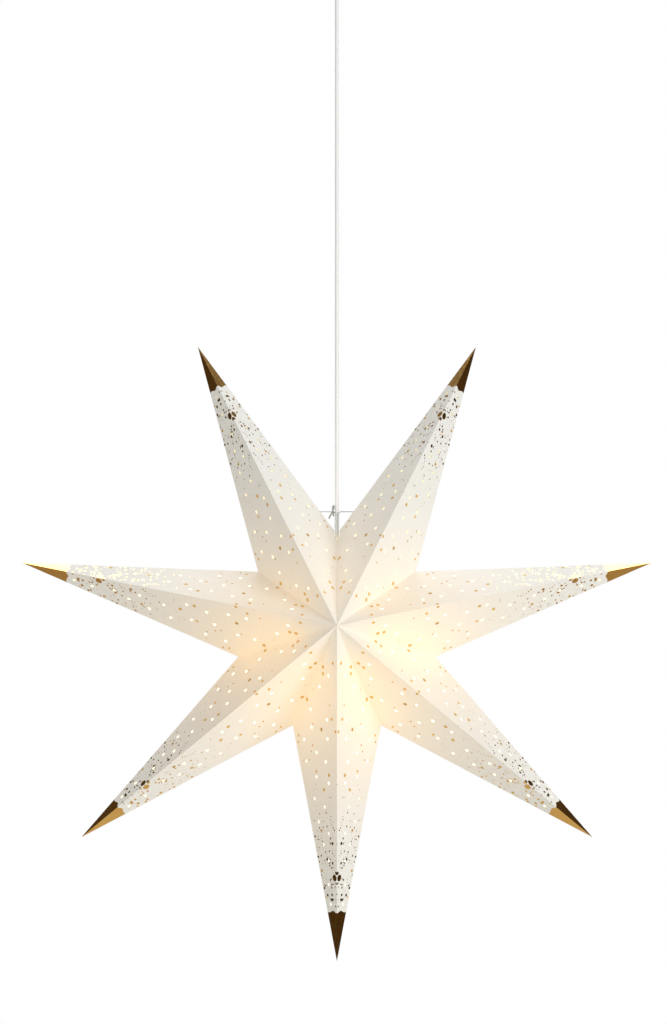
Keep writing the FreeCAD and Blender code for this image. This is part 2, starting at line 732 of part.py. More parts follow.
def cord_outlet():
    """Threaded outlet whose bell mouth lets the cord swing without a sharp bend."""
    throat = CORD_RADIUS + CORD_CLEARANCE
    lean = math.radians(SWING)
    mouth = OUTLET_MOUTH * math.tan(lean) + CORD_RADIUS / math.cos(lean) + 2 * CORD_CLEARANCE
    top = OUTLET_NECK_RISE - CUP_HEIGHT
    return turned_piece(
        (throat, top),
        (OUTLET_NECK_RADIUS, top),
        (OUTLET_NECK_RADIUS, -CUP_HEIGHT),
        (OUTLET_FLANGE_RADIUS, -CUP_HEIGHT),
        (OUTLET_FLANGE_RADIUS, -CUP_HEIGHT - OUTLET_FLANGE),
        (mouth + OUTLET_RIM, SWING_Z - OUTLET_MOUTH),
        (mouth, SWING_Z - OUTLET_MOUTH),
        (throat, SWING_Z),
    )


def outlet_nut():
    """Hexagon nut inside the cup."""
    base = V(0, 0, CUP_WALL - CUP_HEIGHT)
    nut = prism(6, base, V(0, 0, NUT_THICK), NUT_SIZE / math.sqrt(3))
    return nut.cut(prism(ROUND_SIDES, base, V(0, 0, NUT_THICK), OUTLET_NECK_RADIUS + SCREW_GAP))


def cord_top_height():
    """Where the cord's jacket ends inside the cup."""
    return OUTLET_NECK_RISE - CUP_HEIGHT + CORD_TOP_RISE


def cord_top():
    """The cord's upper end, held in the outlet's neck and stripped inside the cup."""
    low = V(0, 0, SWING_Z + CORD_RADIUS + CORD_CLEARANCE)
    return prism(ROUND_SIDES // 2, low, V(0, 0, cord_top_height() - low.z), CORD_RADIUS)


def terminal_block():
    """Connector block under the plate, with a wire hole for each terminal."""
    width, depth, height = BLOCK
    low = V(-width / 2, BLOCK_BACK - depth / 2, -PLATE_THICK - height)
    block = cuboid(low, low + V(width, depth, height))
    for side in (-1, 1):
        mouth = V(side * TERMINAL_PITCH / 2, low.y, -PLATE_THICK - height / 2)
        bore = prism(SMALL_SIDES, mouth, V(0, BLOCK_HOLE_DEPTH, 0), CORE_RADIUS + CORD_CLEARANCE)
        block = block.cut(bore)
    return block


def ceiling_cores():
    """The cord's two cores, from the stripped end up to the terminal block."""
    low = cord_top_height() + CORE_GAP
    _, depth, height = BLOCK
    face = BLOCK_BACK - depth / 2
    middle = -PLATE_THICK - height / 2
    made = []
    for side in (-1, 1):
        outside = side * TERMINAL_PITCH / 2
        run = [
            V(side * CORE_SIDE, 0, low),
            V(outside, face - CORE_STAND_OFF, low + CORE_SPREAD),
            V(outside, face - CORE_STAND_OFF, middle),
            V(outside, face + CORE_IN_BLOCK, middle),
        ]
        edges = bent_path(run, CORE_BEND)
        made.append(wire_along(edges, run[0], run[1] - run[0], CORE_RADIUS, CORE_SIDES))
    return Part.makeCompound(made)


def holder_cores():
    """The cord's two cores inside the lampholder."""
    made = []
    for side in (-1, 1):
        top = in_star(side * CORE_SIDE, 0, CORD_END - CORE_GAP)
        low = in_star(side * HOLDER_TERMINAL_PITCH / 2, 0, INSERT_TOP + 1.5 * HOLDER_TERMINAL_RISE)
        made.append(prism(SMALL_SIDES, top, low - top, CORE_RADIUS))
    return Part.makeCompound(made)


def build():
    """Every piece by the name of its file."""
    screw_base = V(0, BLOCK_BACK, -PLATE_THICK - BLOCK[2] - BLOCK_SCREW_RISE)
    pieces = rays()
    pieces.update(
        wire_hanger=wire_hanger(),
        split_pin=split_pin(),
        pendant_cord=pendant_cord(),
        holder_skirt=holder_skirt(),
        shade_ring=shade_ring(),
        holder_cap=holder_cap(),
        cord_grip_screw=cord_grip_screw(),
        contact_insert=contact_insert(),
        thread_shell=thread_shell(),
        centre_contact=centre_contact(),
        holder_terminal_screws=terminal_screws(
            in_star(0, 0, INSERT_TOP),
            HOLDER_TERMINAL_PITCH,
            HOLDER_TERMINAL_RISE,
            TERMINAL_SCREW_RADIUS,
        ),
        holder_cores=holder_cores(),
        bulb_globe=bulb_globe(),
        bulb_housing=bulb_housing(),
        bulb_screw_cap=bulb_screw_cap(),
        bulb_insulator=bulb_insulator(),
        bulb_tip=bulb_tip(),
        ceiling_plate=ceiling_plate(),
        ceiling_cup=ceiling_cup(),
        cup_screws=cup_screws(),
        cord_outlet=cord_outlet(),
        outlet_nut=outlet_nut(),
        cord_top=cord_top(),
        ceiling_cores=ceiling_cores(),
        terminal_block=terminal_block(),
        block_screws=terminal_screws(
            screw_base, TERMINAL_PITCH, BLOCK_SCREW_RISE, TERMINAL_SCREW_RADIUS
        ),
    )
    return pieces


os.makedirs("parts", exist_ok=True)
for name, shape in build().items():
    shape.exportStep(f"parts/{name}.step")
    print(name, len(shape.Solids), "solid(s), volume", round(shape.Volume, 1), "valid", shape.isValid())
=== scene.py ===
import math

import bmesh
import bpy
from mathutils import Matrix, Vector


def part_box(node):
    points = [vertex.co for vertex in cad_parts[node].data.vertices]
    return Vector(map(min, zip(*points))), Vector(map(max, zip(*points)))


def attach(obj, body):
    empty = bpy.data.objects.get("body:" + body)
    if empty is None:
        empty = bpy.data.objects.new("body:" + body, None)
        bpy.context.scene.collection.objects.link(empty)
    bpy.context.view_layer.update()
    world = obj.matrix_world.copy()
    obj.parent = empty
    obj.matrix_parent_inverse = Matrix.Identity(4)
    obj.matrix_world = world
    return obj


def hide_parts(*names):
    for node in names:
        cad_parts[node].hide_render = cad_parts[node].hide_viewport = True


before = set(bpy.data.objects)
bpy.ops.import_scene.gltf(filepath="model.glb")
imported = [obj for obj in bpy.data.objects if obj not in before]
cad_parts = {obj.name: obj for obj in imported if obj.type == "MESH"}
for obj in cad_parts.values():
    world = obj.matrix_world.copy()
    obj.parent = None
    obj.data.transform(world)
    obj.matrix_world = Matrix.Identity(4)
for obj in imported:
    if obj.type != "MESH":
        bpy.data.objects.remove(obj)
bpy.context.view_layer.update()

# Lengths are in millimetres unless a comment says metres, and MM turns them into metres. Heights of
# the lamp's pieces are measured from the star's centre.
MM = 0.001
BALL_RADIUS = 22.5  # the bulb's ball, which hangs in the star's centre
STAR = Vector((0, 0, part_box("bulb_globe")[0].z + BALL_RADIUS * MM))
CEILING = Vector((0, 0, 0))


# --- Mesh helpers ---------------------------------------------------------------------------------


def placed(name, data):
    """A new object in the scene."""
    obj = bpy.data.objects.new(name, data)
    bpy.context.scene.collection.objects.link(obj)
    return obj


def mesh_of(bm, name):
    """The mesh made from a bmesh."""
    mesh = bpy.data.meshes.new(name)
    bm.to_mesh(mesh)
    bm.free()
    return mesh


def evaluated(obj):
    """A mesh with the object's modifiers worked in."""
    bpy.context.view_layer.update()
    graph = bpy.context.evaluated_depsgraph_get()
    return bpy.data.meshes.new_from_object(obj.evaluated_get(graph))


def new_object(name, mesh, body, slot, *replaced):
    """A finished piece: linked, riding on its body and standing for its CAD nodes."""
    obj = placed(name, mesh)
    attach(obj, body)
    if replaced:
        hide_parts(*replaced)
    return obj


def finished(name, bm, body, slot, *replaced, smooth=30):
    """The piece made from a bmesh, with faces outward and smooth up to an angle in degrees."""
    bmesh.ops.recalc_face_normals(bm, faces=bm.faces)
    mesh = mesh_of(bm, name)
    mesh.shade_smooth()
    mesh.set_sharp_from_angle(angle=math.radians(smooth))
    return new_object(name, mesh, body, slot, *replaced)


def bevelled(obj, width):
    """Rounds a piece's sharp edges."""
    bevel = obj.modifiers.new("bevel", "BEVEL")
    bevel.width = width * MM
    bevel.segments = 2
    bevel.limit_method = "ANGLE"
    bevel.angle_limit = math.radians(35)
    bevel.harden_normals = False


def lathe(bm, profile, centre, sides, turn=Matrix.Identity(3)):
    """Adds a turned solid to bm by spinning a closed outline of (radius, height)."""
    here = set(bm.verts)
    outline = [bm.verts.new((radius * MM, 0, height * MM)) for radius, height in profile]
    pairs = zip(outline, outline[1:] + outline[:1])
    edges = [bm.edges.new((a, b)) for a, b in pairs if a.co.x > 0 or b.co.x > 0]
    bmesh.ops.spin(
        bm,
        geom=outline + edges,
        cent=(0, 0, 0),
        axis=(0, 0, 1),
        angle=2 * math.pi,
        steps=sides,
        use_merge=True,
    )
    made = [v for v in bm.verts if v not in here]
    bmesh.ops.remove_doubles(bm, verts=made, dist=1e-6)
    made = [v for v in made if v.is_valid]
    bmesh.ops.transform(bm, matrix=Matrix.Translation(centre) @ turn.to_4x4(), verts=made)


def rod(radius, low, high):
    """The outline of a plain round rod, for the lathe."""
    return [(0, low), (radius, low), (radius, high), (0, high)]


def smooth_line(points, bend, steps=6):
    """The points, in metres, joined by straight runs with rounded corners."""
    line = [points[0]]
    for before, corner, after in zip(points, points[1:], points[2:]):
        back, ahead = (before - corner).normalized(), (after - corner).normalized()
        half = back.angle(ahead) / 2
        reach = bend / math.tan(half)
        enter, leave = corner + back * reach, corner + ahead * reach
        centre = corner + (back + ahead).normalized() * (bend / math.sin(half))
        a, b = enter - centre, leave - centre
        sweep = a.angle(b)
        for i in range(steps + 1):
            t = i / steps
            point = (a * math.sin((1 - t) * sweep) + b * math.sin(t * sweep)) / math.sin(sweep)
            line.append(centre + point)
    line.append(points[-1])
    return line


def tube(bm, line, radius, sides=14):
    """Adds a wire with domed ends to bm: a circle extruded along a line of points, in metres."""
    dome = [(-0.9, 0.35), (-0.5, 0.8)]  # (shift along the wire, share of its radius)
    tangent = (line[1] - line[0]).normalized()
    normal = tangent.orthogonal().normalized()
    stations = []
    for i, point in enumerate(line):
        ahead = (line[min(i + 1, len(line) - 1)] - line[max(i - 1, 0)]).normalized()
        normal = tangent.rotation_difference(ahead) @ normal
        tangent = ahead
        turn = Matrix((normal, tangent.cross(normal), tangent)).transposed().to_4x4()
        rings = [(0, 1)]
        if i == 0:
            rings = dome + rings
        if i == len(line) - 1:
            rings = rings + [(-shift, share) for shift, share in reversed(dome)]
        for shift, share in rings:
            place = Matrix.Translation(point + tangent * (shift * radius))
            stations.append(place @ turn @ Matrix.Scale(radius * share, 4))
    ring = bmesh.ops.create_circle(bm, cap_ends=True, segments=sides, radius=1, matrix=stations[0])
    edges = list(dict.fromkeys(e for v in ring["verts"] for e in v.link_edges))
    for before, after in zip(stations, stations[1:]):
        made = bmesh.ops.extrude_edge_only(bm, edges=edges)["geom"]
        edges = [g for g in made if isinstance(g, bmesh.types.BMEdge) and g.is_boundary]
        verts = [g for g in made if isinstance(g, bmesh.types.BMVert)]
        bmesh.ops.transform(bm, matrix=after @ before.inverted(), verts=verts)
    bmesh.ops.contextual_create(bm, geom=edges)


def box_in(bm, low, high, turn=Matrix.Identity(4)):
    """Adds a block between two corners."""
    low, high = Vector(low) * MM, Vector(high) * MM
    place = Matrix.Translation((low + high) / 2) @ Matrix.Diagonal((*(high - low), 1))
    bmesh.ops.create_cube(bm, size=1, matrix=turn @ place)


def cut(obj, solid):
    """Cuts the solid in a bmesh out of a piece, for good."""
    bmesh.ops.recalc_face_normals(solid, faces=solid.faces)
    tool_mesh = mesh_of(solid, "tool")
    tool = placed("tool", tool_mesh)
    boolean = obj.modifiers.new("cut", "BOOLEAN")
    boolean.operation = "DIFFERENCE"
    boolean.object = tool
    made = evaluated(obj)
    obj.modifiers.remove(boolean)
    # the cut leaves tiny edges, and spare corners in the middle of straight ones
    bm = bmesh.new()
    bm.from_mesh(made)
    bmesh.ops.dissolve_degenerate(bm, dist=0.04 * MM, edges=bm.edges)
    bmesh.ops.dissolve_verts(bm, verts=[v for v in bm.verts if len(v.link_edges) == 2])
    bm.to_mesh(made)
    bm.free()
    old = obj.data
    obj.data = made
    bpy.data.meshes.remove(old)
    bpy.data.objects.remove(tool)
    bpy.data.meshes.remove(tool_mesh)
    made.set_sharp_from_angle(angle=math.radians(30))


def at_star(x, y, z):
    """A point given from the star's centre."""
    return STAR + Vector((x, y, z)) * MM


# --- Camera, at the photograph's viewing angle ----------------------------------------------------

IMAGE_WIDTH, IMAGE_HEIGHT = 667, 1024  # pixels
CENTRE_SEEN = (336.9, 634.3)  # where the star's centre lies in the photograph, in pixels
FOCAL = 2358.0  # pixels
DISTANCE = 2.8  # metres
LOOK_UP = math.radians(5.33)
SENSOR = 36.0
camera_data = bpy.data.cameras.new("camera")
camera_data.sensor_fit = "VERTICAL"
camera_data.sensor_height = SENSOR
camera_data.sensor_width = SENSOR
camera_data.lens = SENSOR * FOCAL / IMAGE_HEIGHT
camera_data.shift_x = (IMAGE_WIDTH / 2 - CENTRE_SEEN[0]) / IMAGE_HEIGHT
camera_data.shift_y = (CENTRE_SEEN[1] - IMAGE_HEIGHT / 2) / IMAGE_HEIGHT
camera = placed("camera", camera_data)
camera.location = STAR + Vector((0, -DISTANCE * math.cos(LOOK_UP), -DISTANCE * math.sin(LOOK_UP)))
camera.rotation_euler = (math.pi / 2 + LOOK_UP, 0, 0)
bpy.context.scene.camera = camera

# --- Cord -----------------------------------------------------------------------------------------

CORD_RADIUS = 2.4
CORD_FOOT = 76.0  # the cord's lower end, in the holder cap
SWING_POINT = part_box("pendant_cord")[1].z - CORD_RADIUS * MM  # in the outlet's throat
CORD_LOW = STAR.z + CORD_FOOT * MM
cord_curve = bpy.data.curves.new("pendant_cord_jacket", "CURVE")
cord_curve.dimensions = "3D"
cord_curve.bevel_depth = 1.0
cord_curve.bevel_resolution = 8
cord_curve.use_fill_caps = True
spline = cord_curve.splines.new("NURBS")
heights = [SWING_POINT + (CORD_LOW - SWING_POINT) * i / 5 for i in range(6)]
spline.points.add(len(heights) - 1)
for point, height in zip(spline.points, heights):
    point.co = (0, 0, height, 1)
    point.radius = CORD_RADIUS * MM
spline.order_u = 3
spline.use_endpoint_u = True
cord_jacket = new_object("pendant_cord_jacket", cord_curve, "cord", "cord_white", "pendant_cord")

# --- Star -----------------------------------------------------------------------------------------
# One ray is worked out about the star's centre with its tip on +X. It has four panels: front and
# back, upper and lower. A panel's own coordinates are u along the outer fold from the notch to the
# tip, and v from that fold towards the ridge.

RAYS = 7
TIP_RADIUS, NOTCH_RADIUS, APEX_DEPTH = 385.0, 120.0, 111.5
CARD = 0.5  # its thickness
STEP = 2 * math.pi / RAYS
HALF = STEP / 2
RAY_NAMES = [
    "ray_bottom",
    "ray_lower_right",
    "ray_right",
    "ray_upper_right",
    "ray_upper_left",
    "ray_left",
    "ray_lower_left",
]
TIP = Vector((TIP_RADIUS, 0, 0))
NOTCH = Vector((NOTCH_RADIUS * math.cos(HALF), 0, NOTCH_RADIUS * math.sin(HALF)))
APEX = Vector((0, -APEX_DEPTH, 0))
ALONG = (TIP - NOTCH).normalized()
INWARD = ((APEX - NOTCH) - ALONG * (APEX - NOTCH).dot(ALONG)).normalized()
FACE = ALONG.cross(INWARD).normalized()
TIP_UV = (TIP - NOTCH).length
APEX_UV = ((APEX - NOTCH).dot(ALONG), (APEX - NOTCH).dot(INWARD))
SECTOR = Vector((-math.sin(HALF), 0, math.cos(HALF)))  # square to the plane between two rays
VALLEY = (NOTCH - APEX).length
UV_SCALE = 0.01  # one unit of the UV map is 100 mm

ARM_HEIGHT = 147.0  # the hanger's arms, which carry the two upper rays
ARM_HOLE = 1.0
SLOT_HALF, SLOT_FRONT, SLOT_BACK = 3.2, 7.5, 40.0  # the gap for the cord, and how deep it is cut
FLAP_START, FLAP_STOP, FLAP_WIDTH = 30.0, 12.0, 13.0
FLAP_GAP, FLAP_CARD = 0.04, 0.4

# punched holes: (share of the way from the notch to the tip, share of the way from fold to ridge)
PUNCHES = (
    (-0.06, 0.44), (0.015, 0.42), (0.122, 0.48), (0.224, 0.41), (0.315, 0.27), (0.413, 0.31),
    (0.508, 0.40), (0.577, 0.57), (0.676, 0.43), (0.758, 0.43),
    (-0.01, 0.78), (0.0685, 0.77), (0.163, 0.70), (0.253, 0.755), (0.352, 0.58), (0.4625, 0.66),
    (0.064, 0.21), (0.155, 0.19), (-0.15, 0.66), (-0.19, 0.84),
)  # fmt: skip
PUNCH_RADIUS, PUNCH_SIDES = 1.9, 14


def panel_place(front, upper):
    """Where one of the four panels lies: its own coordinates to the ray's."""
    place = Matrix.Translation(NOTCH) @ Matrix((ALONG, INWARD, FACE)).transposed().to_4x4()
    return Matrix.Diagonal((1, 1 if front else -1, 1 if upper else -1, 1)) @ place


def place_on_panel(along, across):
    """Panel coordinates from shares of the way to the tip and from the outer fold to the ridge."""
    ridge_start = APEX + (TIP - APEX) * (NOTCH.x / TIP.x)
    edge = NOTCH + (TIP - NOTCH) * along
    ridge = ridge_start + (TIP - ridge_start) * along
    point = edge * (1 - across) + ridge * across - NOTCH
    return point.dot(ALONG), point.dot(INWARD)


def arm_notch(angle, upper):
    """The outline of the hanger arm's hole where it crosses a panel, from the tip's side."""
    c, s = math.cos(angle), math.sin(angle)
    across = Vector((c, 0, -s))  # the arm's direction, seen in the ray's own frame
    up = Vector((s, 0, c))
    if not upper:
        across.z, up.z = -across.z, -up.z
    outline = []
    for i in range(9):
        a = math.pi * i / 8
        on_rim = up * (ARM_HEIGHT + ARM_HOLE * math.cos(a))
        on_rim += Vector((0, -ARM_HOLE * math.sin(a), 0))
        t = (NOTCH - on_rim).dot(FACE) / across.dot(FACE)
        point = on_rim + across * t - NOTCH
        outline.append((point.dot(ALONG), max(0.0, point.dot(INWARD))))
    return outline


def panel_outline(angle, front, upper, seam):
    """The panel's corners. A seam panel is cut back round the cord and lets the hanger's arm in."""
    if not seam:
        return [(TIP_UV, 0), (0, 0), APEX_UV]
    depth = SLOT_FRONT if front else SLOT_BACK
    v_cut = depth / abs(INWARD.y)
    slope_u, slope_v = -ALONG.dot(SECTOR), -INWARD.dot(SECTOR)
    u_edge = SLOT_HALF / slope_u
    u_deep = (SLOT_HALF - slope_v * v_cut) / slope_u
    u_valley = -slope_v * v_cut / slope_u
    corners = [(TIP_UV, 0)] + arm_notch(angle, upper)
    return corners + [(u_edge, 0), (u_deep, v_cut), (u_valley, v_cut), APEX_UV]


def add_panel(bm, uv, angle, front, upper, seam):
    """Adds one flat panel with its punched holes to the ray's sheet."""
    corners = [bm.verts.new((u, v, 0)) for u, v in panel_outline(angle, front, upper, seam)]
    verts = list(corners)
    edges = [bm.edges.new(pair) for pair in zip(corners, corners[1:] + corners[:1])]
    for along, across in PUNCHES:
        place = Matrix.Translation((*place_on_panel(along, across), 0))
        hole = bmesh.ops.create_circle(
            bm, segments=PUNCH_SIDES, radius=PUNCH_RADIUS, matrix=place
        )["verts"]
        edges += dict.fromkeys(e for v in hole for e in v.link_edges)
        verts += hole
    made = bmesh.ops.triangle_fill(bm, use_beauty=True, use_dissolve=False, edges=edges)["geom"]
    for face in [g for g in made if isinstance(g, bmesh.types.BMFace)]:
        for loop in face.loops:
            loop[uv].uv = loop.vert.co.xy * UV_SCALE
    bmesh.ops.transform(bm, matrix=panel_place(front, upper), verts=verts)


def add_flap(bm, front, stop_short):
    """Adds a glue flap, which lies under the neighbouring ray's panel along the valley."""
    own = FACE if FACE.y < 0 else -FACE
    valley = (NOTCH - APEX).normalized()
    other = (own - SECTOR * (2 * own.dot(SECTOR))).normalized()
    outward = other.cross(valley)
    outward = outward if outward.dot(SECTOR) > 0 else -outward
    last = VALLEY - stop_short
    root = APEX - other * (CARD + FLAP_GAP)
    outline = [
        root + valley * FLAP_START,
        root + valley * (FLAP_START + FLAP_WIDTH) + outward * FLAP_WIDTH,
        root + valley * (last - FLAP_WIDTH) + outward * FLAP_WIDTH,
        root + valley * last,
    ]
    here = set(bm.faces)
    sheet = bm.faces.new([bm.verts.new(p) for p in outline])
    made = bmesh.ops.extrude_face_region(bm, geom=[sheet], use_keep_orig=True)["geom"]
    lifted = [g for g in made if isinstance(g, bmesh.types.BMVert)]
    bmesh.ops.translate(bm, vec=-other * FLAP_CARD, verts=lifted)
    faces = [f for f in bm.faces if f not in here]
    if not front:
        verts = list(dict.fromkeys(v for f in faces for v in f.verts))
        bmesh.ops.transform(bm, matrix=Matrix.Scale(-1, 4, Vector((0, 1, 0))), verts=verts)
    for face in faces:
        face.material_index = 3
    return faces


def ray(index):
    """One folded card ray as a closed mesh, with print coordinates and its two flaps."""
    name = RAY_NAMES[index]
    angle = -math.pi / 2 + index * STEP
    upper_seam, lower_seam = name == "ray_upper_right", name == "ray_upper_left"
    bm = bmesh.new()
    uv = bm.loops.layers.uv.new("print")
    for front in (True, False):
        for upper in (True, False):
            seam = (upper_seam and upper) or (lower_seam and not upper)
            add_panel(bm, uv, angle, front, upper, seam)
    bmesh.ops.remove_doubles(bm, verts=bm.verts, dist=0.01)
    bmesh.ops.recalc_face_normals(bm, faces=bm.faces)
    middle = sum((f.calc_center_median() * f.calc_area() for f in bm.faces), Vector())
    middle /= sum(f.calc_area() for f in bm.faces)
    outward = sum((f.calc_center_median() - middle).dot(f.normal) * f.calc_area() for f in bm.faces)
    if outward < 0:
        bmesh.ops.reverse_faces(bm, faces=bm.faces)
    mesh = mesh_of(bm, name + "_sheet")
    sheet = placed(name + "_sheet", mesh)
    solid = sheet.modifiers.new("card", "SOLIDIFY")
    solid.thickness = CARD
    solid.offset = -1
    solid.use_even_offset = True
    solid.use_quality_normals = True
    solid.material_offset = 1
    solid.material_offset_rim = 2
    for i in range(3):  # room for the outside, the inside and the edge
        mesh.materials.append(None)
    solid_mesh = evaluated(sheet)
    bpy.data.objects.remove(sheet)
    bm = bmesh.new()
    bm.from_mesh(solid_mesh)
    bpy.data.meshes.remove(solid_mesh)
    stops = (FLAP_STOP, FLAP_STOP)
    if upper_seam:  # its flaps end below the slot
        stops = [VALLEY * slot / APEX_DEPTH + 3 for slot in (SLOT_FRONT, SLOT_BACK)]
    flaps = add_flap(bm, True, stops[0]) + add_flap(bm, False, stops[1])
    bmesh.ops.recalc_face_normals(bm, faces=flaps)
    turn = Matrix.Rotation(angle, 4, Vector((0, -1, 0))) @ Matrix.Scale(MM, 4)
    bmesh.ops.transform(bm, matrix=Matrix.Translation(STAR) @ turn, verts=bm.verts)
    mesh = mesh_of(bm, name + "_card")
    for material in (card_printed, card_inside, card_edge, card_flap):
        mesh.materials.append(material)
    new_object(name + "_card", mesh, "star", "star_card", name)


# --- Materials ------------------------------------------------------------------------------------


class Field:
    """A number in a node tree, from which other numbers are worked out."""

    def __init__(self, tree, socket):
        self.tree, self.socket = tree, socket

    def op(self, kind, *others):
        """The result of a Math node on this number and the others."""
        node = self.tree.nodes.new("ShaderNodeMath")
        node.operation = kind
        for socket, value in zip(node.inputs, (self,) + others):
            if isinstance(value, Field):
                self.tree.links.new(value.socket, socket)
            else:
                socket.default_value = value
        return Field(self.tree, node.outputs[0])

    def __add__(self, other):
        return self.op("ADD", other)

    def __sub__(self, other):
        return self.op("SUBTRACT", other)

    def __mul__(self, other):
        return self.op("MULTIPLY", other)

    def low(self, other):
        """The lower of the two."""
        return self.op("MINIMUM", other)

    def high(self, other):
        """The higher of the two."""
        return self.op("MAXIMUM", other)

    def ramp(self, start, end, low=0.0, high=1.0):
        """Runs smoothly from low to high as this number runs from start to end."""
        node = self.tree.nodes.new("ShaderNodeMapRange")
        node.interpolation_type = "SMOOTHSTEP"
        self.tree.links.new(self.socket, node.inputs["Value"])
        names = ("From Min", "From Max", "To Min", "To Max")
        for name, value in zip(names, (start, end, low, high)):
            node.inputs[name].default_value = value
        return Field(self.tree, node.outputs["Result"])


class Look:
    """A material that is being wired up."""

    def __init__(self, name):
        self.material = bpy.data.materials.new(name)
        self.material.use_nodes = True
        self.tree = self.material.node_tree
        self.tree.nodes.clear()
        self.out = self.tree.nodes.new("ShaderNodeOutputMaterial")

    def node(self, kind, **sockets):
        """A new node with some of its inputs filled, an underscore standing for a space."""
        node = self.tree.nodes.new("ShaderNode" + kind)
        for name, value in sockets.items():
            self.put(node.inputs[name.replace("_", " ")], value)
        return node

    def put(self, socket, value):
        """Links an input to a number or an output, or sets it to a constant."""
        if isinstance(value, Field):
            self.tree.links.new(value.socket, socket)
        elif isinstance(value, bpy.types.NodeSocket):
            self.tree.links.new(value, socket)
        else:
            socket.default_value = value

    def field(self, socket):
        """An output as a number to work with."""
        return Field(self.tree, socket)

    def split(self, vector):
        """The three numbers of a vector."""
        made = self.node("SeparateXYZ", Vector=vector)
        return [self.field(made.outputs[i]) for i in range(3)]

    def scaled(self, place, scale):
        """Coordinates, stretched."""
        return self.node("Mapping", Vector=place, Scale=scale).outputs[0]

    def object_place(self, scale=(1, 1, 1)):
        """Object coordinates, stretched."""
        return self.scaled(self.node("TexCoord").outputs["Object"], scale)

    def noise(self, place, scale, detail=3.0, roughness=0.55):
        """Clouds between nought and one."""
        made = self.node("TexNoise", Vector=place, Scale=scale, Detail=detail, Roughness=roughness)
        return self.field(made.outputs["Fac"])

    def blend(self, share, first, second):
        """A colour between two colours."""
        made = self.node("Mix")
        made.data_type = "RGBA"
        self.put(made.inputs[0], share)
        for socket, value in zip((made.inputs[6], made.inputs[7]), (first, second)):
            self.put(socket, (*value, 1) if isinstance(value, tuple) else value)
        return made.outputs[2]

    def bump(self, height, strength, distance):
        """A relief for a shader's Normal, its depth in metres."""
        return self.node("Bump", Height=height, Strength=strength, Distance=distance).outputs[0]

    def light(self, color, share):
        """A colour of light, dimmed to a share that may vary over the piece."""
        made = self.node("VectorMath", Vector=color)
        made.operation = "SCALE"
        self.put(made.inputs["Scale"], share)
        return made.outputs[0]

    def finish(self, color, **sockets):
        """The finished material, with one Principled shader."""
        made = self.node("BsdfPrincipled", **sockets)
        self.put(made.inputs["Base Color"], (*color, 1) if isinstance(color, tuple) else color)
        self.tree.links.new(made.outputs[0], self.out.inputs["Surface"])
        return self.material


def moulded(name, color, darker, roughness, grain=900, depth=0.00004):
    """Moulded plastic: a faint flow pattern in its colour and a fine satin grain."""
    look = Look(name)
    place = look.object_place()
    tint = look.blend(look.noise(place, 60, 4).ramp(0.3, 0.7), color, darker)
    rough = look.noise(place, 140, 3).ramp(0.3, 0.7, roughness - 0.06, roughness + 0.06)
    normal = look.bump(look.noise(place, grain, 2), 0.35, depth)
    return look.finish(tint, Roughness=rough, Normal=normal)


def metal(name, color, darker, roughness, stretch=(1, 1, 1)):
    """Drawn, turned or plated metal: streaks along the drawing and dull patches."""
    look = Look(name)
    streaks = look.noise(look.object_place(stretch), 400, 4)
    patches = look.noise(look.object_place(), 45, 3)
    tint = look.blend((streaks * 0.5 + patches * 0.5).ramp(0.35, 0.65), color, darker)
    rough = (streaks + patches).ramp(0.7, 1.3, roughness - 0.07, roughness + 0.1)
    normal = look.bump(streaks, 0.25, 0.00005)
    return look.finish(tint, Metallic=1.0, Roughness=rough, Normal=normal)


def matt(name, color, darker, scale, detail, roughness):
    """A dull sheet of the studio, cloudy between two colours."""
    look = Look(name)
    tone = look.noise(look.object_place(), scale, detail).ramp(0.3, 0.7)
    return look.finish(look.blend(tone, color, darker), Roughness=roughness)


def span(across, along):
    """The length of a line given by its two legs."""
    return (across * across + along * along).op("POWER", 0.5)


# The card's print: a solid gold tip, round dots of gold foil that thin out from it to the notch, and
# small dots of ink strewn over all of the card. Each kind of dot has its number of cells in 100 mm,
# the share of them that stays bare, and its largest radius in cells. The foil's kinds also say
# between which places they grow to their full size, in 100 mm along the ray from the notch.
GOLD_DOTS = (
    (9.0, 0.30, 0.46, 0.9, 2.0),
    (17.0, 0.20, 0.44, 0.4, 1.8),
    (31.0, 0.30, 0.42, 0.0, 1.5),
)
INK_DOTS = (13.0, 0.45, 0.34)
GOLD_FROM = 2.2  # the solid tip starts about here


def round_dots(look, place, count, bare, largest, shrink):
    """Where round dots lie, one to a cell, each smaller by shrink, and a tone for each."""
    place = look.scaled(place, (count, count, 1.0))
    cells = look.node("TexVoronoi", Vector=place, Scale=1.0, Randomness=0.8)
    kind, tone, _ = look.split(cells.outputs["Color"])
    size = kind.ramp(bare, 1.0, -0.10, largest) - shrink
    return (size - look.field(cells.outputs["Distance"])).ramp(0.0, 0.03), tone


def gold_print(look):
    """Where foil lies (1) and bare card (0), where the ink's dots lie, and the dots' tone."""
    place = look.node("UVMap")
    place.uv_map = "print"
    place = place.outputs[0]
    along, _, _ = look.split(place)
    wander = (look.noise(place, 7.0, 1.0) - 0.5) * 0.35
    foil = (along + wander).ramp(GOLD_FROM, GOLD_FROM + 0.01)
    for count, bare, largest, first, full in GOLD_DOTS:
        dots, _ = round_dots(look, place, count, bare, largest, along.ramp(first, full, 0.5, 0.0))
        foil = foil.high(dots)
    ink, tone = round_dots(look, place, *INK_DOTS, 0.0)
    return foil, ink, tone.ramp(0.2, 1.0, 0.0, 0.55)


